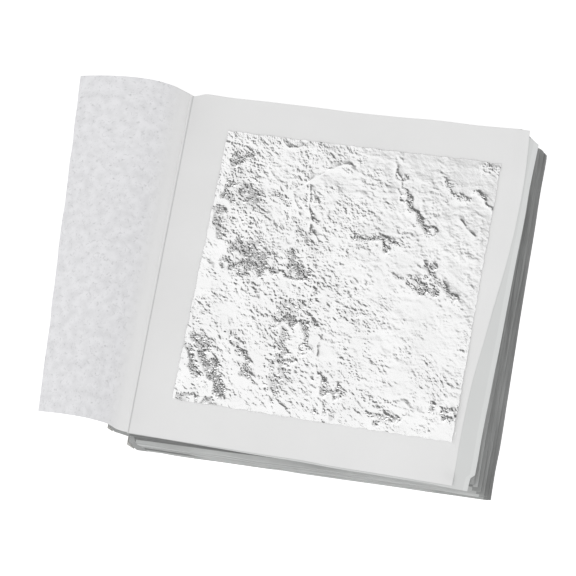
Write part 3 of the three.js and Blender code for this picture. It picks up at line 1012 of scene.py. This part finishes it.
def make_bound_edge(node, pages, seed):
    """The glued margins of a section: one thin layer of paper on another, not quite in line."""
    left, right = bound_sides(node)
    ends = bound_ends(node)
    lo, hi = node_box(node)
    count = pages * LAYERS_PER_PAGE
    pitch = (hi[2] - lo[2]) / count
    draw = np.random.default_rng(seed)
    shares_out, shares_along = np.linspace(0, 1, LAYER_STEPS_ACROSS + 1), np.linspace(0, 1, LAYER_STEPS + 1)
    out, along = np.meshgrid(shares_out, shares_along)
    sheets = []
    for layer in range(count):
        height = lo[2] + pitch * (layer + 0.5)
        tail_at_spine, tail_at_pages, head = ends(height)
        wander = noise(along * LAYER_WAVES, np.full_like(along, layer + MID_CELL), seed + 1)
        spine_side = left(height) + LAYER_WANDER * (1 + wander) / 2
        x = spine_side * (1 - out) + right(height) * out
        tail = tail_at_spine * (1 - out) + tail_at_pages * out + draw.uniform(0, LAYER_WANDER)
        y = tail * (1 - along) + (head - draw.uniform(0, LAYER_WANDER)) * along
        sheets.append(np.stack([x, y, np.full_like(x, height)], axis=2))
    piece = make_mesh(f"{node}_layers", sheets, pitch * LAYER_FILL, [SHADED_BOUND_PAPER])
    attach(piece, "bound_block")
    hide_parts(node)


def make_glue(node, bound_node, seed):
    """An uneven film on the spine side of a glued edge."""
    left, _ = bound_sides(bound_node)
    lo, hi = node_box(node)
    along, up = np.meshgrid(np.linspace(0, 1, GLUE_STEPS_ALONG + 1), np.linspace(0, 1, GLUE_STEPS_UP + 1))
    y = lo[1] + (hi[1] - lo[1]) * along
    z = lo[2] + (hi[2] - lo[2]) * up
    ragged = GLUE_EDGE_WANDER * (1 + noise(y / GLUE_BUMP_LENGTH, up, seed)) / 2
    z += ragged * ((1 - up) ** EDGE_FADE - up**EDGE_FADE)
    x = left(z) - GLUE_STAND_OFF + GLUE_BUMP * noise(y / GLUE_BUMP_LENGTH, z / GLUE_BUMP_LENGTH, seed + 1)
    piece = make_mesh(f"{node}_film", [np.stack([x, y, z], axis=2)], GLUE_THICKNESS, [GLUE])
    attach(piece, "bound_block")
    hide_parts(node)


# Stage, light and camera

def make_floor():
    side = FLOOR_SIDE / 2 * MM
    mesh = bpy.data.meshes.new("floor")
    corners = [(-side, -side), (side, -side), (side, side), (-side, side)]
    mesh.from_pydata([(x, y, -FLOOR_DROP * MM) for x, y in corners], [], [(0, 1, 2, 3)])
    floor = add_object("floor", mesh)
    mesh.materials.append(floor_material())


def floor_material():
    """Pale floor that looks white, and still shows the object's shadow."""
    material = bpy.data.materials.new("floor")
    material.use_nodes = True
    nodes, links = material.node_tree.nodes, material.node_tree.links
    nodes.clear()
    diffuse = nodes.new("ShaderNodeBsdfDiffuse")
    diffuse.inputs["Color"].default_value = (*grey(FLOOR_TONE), 1)
    path = nodes.new("ShaderNodeLightPath")
    seen = path.outputs["Is Camera Ray"]
    for kind in ("Is Glossy Ray", "Is Transmission Ray"):
        either = nodes.new("ShaderNodeMath")
        either.operation = "MAXIMUM"
        links.new(seen, either.inputs[0])
        links.new(path.outputs[kind], either.inputs[1])
        seen = either.outputs["Value"]
    level = nodes.new("ShaderNodeMath")
    level.operation = "MULTIPLY"
    level.inputs[1].default_value = FLOOR_GLOW
    links.new(seen, level.inputs[0])
    glow = nodes.new("ShaderNodeEmission")
    links.new(level.outputs["Value"], glow.inputs["Strength"])
    both = nodes.new("ShaderNodeAddShader")
    links.new(diffuse.outputs["BSDF"], both.inputs[0])
    links.new(glow.outputs["Emission"], both.inputs[1])
    output = nodes.new("ShaderNodeOutputMaterial")
    links.new(both.outputs["Shader"], output.inputs["Surface"])
    return material


def make_world():
    """A pale room, darker on one side."""
    world = bpy.data.worlds.new("studio")
    bpy.context.scene.world = world
    world.use_nodes = True
    nodes, links = world.node_tree.nodes, world.node_tree.links
    place = nodes.new("ShaderNodeTexCoord")
    towards = nodes.new("ShaderNodeVectorMath")
    towards.operation = "DOT_PRODUCT"
    towards.inputs[1].default_value = Vector(DARK_DIRECTION).normalized()
    links.new(place.outputs["Generated"], towards.inputs[0])
    level = nodes.new("ShaderNodeMapRange")
    level.interpolation_type = "SMOOTHSTEP"
    level.inputs["From Min"].default_value = math.cos(math.radians(DARK_FROM))
    level.inputs["From Max"].default_value = math.cos(math.radians(DARK_TO))
    level.inputs["To Min"].default_value = BRIGHT_SIDE
    level.inputs["To Max"].default_value = DARK_SIDE
    links.new(towards.outputs["Value"], level.inputs["Value"])
    links.new(level.outputs["Result"], nodes["Background"].inputs["Strength"])
    nodes["Background"].inputs["Color"].default_value = (1, 1, 1, 1)


def make_key_light():
    lamp = bpy.data.lights.new("key", "AREA")
    lamp.size = KEY_SIZE * MM
    lamp.energy = KEY_POWER
    key = add_object("key", lamp)
    place = Vector(KEY_PLACE) * MM
    key.location = place
    key.rotation_mode = "QUATERNION"
    key.rotation_quaternion = (Vector(CAMERA_AIM) * MM - place).to_track_quat("-Z", "Y")


def make_camera():
    azimuth, elevation = math.radians(CAMERA_AZIMUTH), math.radians(CAMERA_ELEVATION)
    roll = math.radians(CAMERA_ROLL)
    back = Vector((
        math.sin(azimuth) * math.cos(elevation),
        -math.cos(azimuth) * math.cos(elevation),
        math.sin(elevation),
    ))
    level_right = Vector((math.cos(azimuth), math.sin(azimuth), 0))
    level_up = back.cross(level_right)
    right = level_right * math.cos(roll) + level_up * math.sin(roll)
    up = back.cross(right)
    data = bpy.data.cameras.new("camera")
    data.lens = CAMERA_LENS
    data.sensor_width = SENSOR_WIDTH
    camera = add_object("camera", data)
    place = (Vector(CAMERA_AIM) + back * CAMERA_DISTANCE) * MM
    camera.matrix_world = Matrix.Translation(place) @ Matrix((right, up, back)).transposed().to_4x4()
    bpy.context.scene.camera = camera


make_camera()
for number in range(1, LEAF_COUNT + 1):
    make_page(number)
    make_leaf(number)
make_back_page()
make_flap()
make_bound_edge("upper_bound_edge", UPPER_PAGES, UPPER_BOUND_SEED)
make_bound_edge("lower_bound_edge", LEAF_COUNT - UPPER_PAGES, LOWER_BOUND_SEED)
make_glue("upper_spine_glue", "upper_bound_edge", UPPER_GLUE_SEED)
make_glue("lower_spine_glue", "lower_bound_edge", LOWER_GLUE_SEED)
make_floor()
make_world()
make_key_light()

bpy.context.scene.view_settings.view_transform = "Standard"
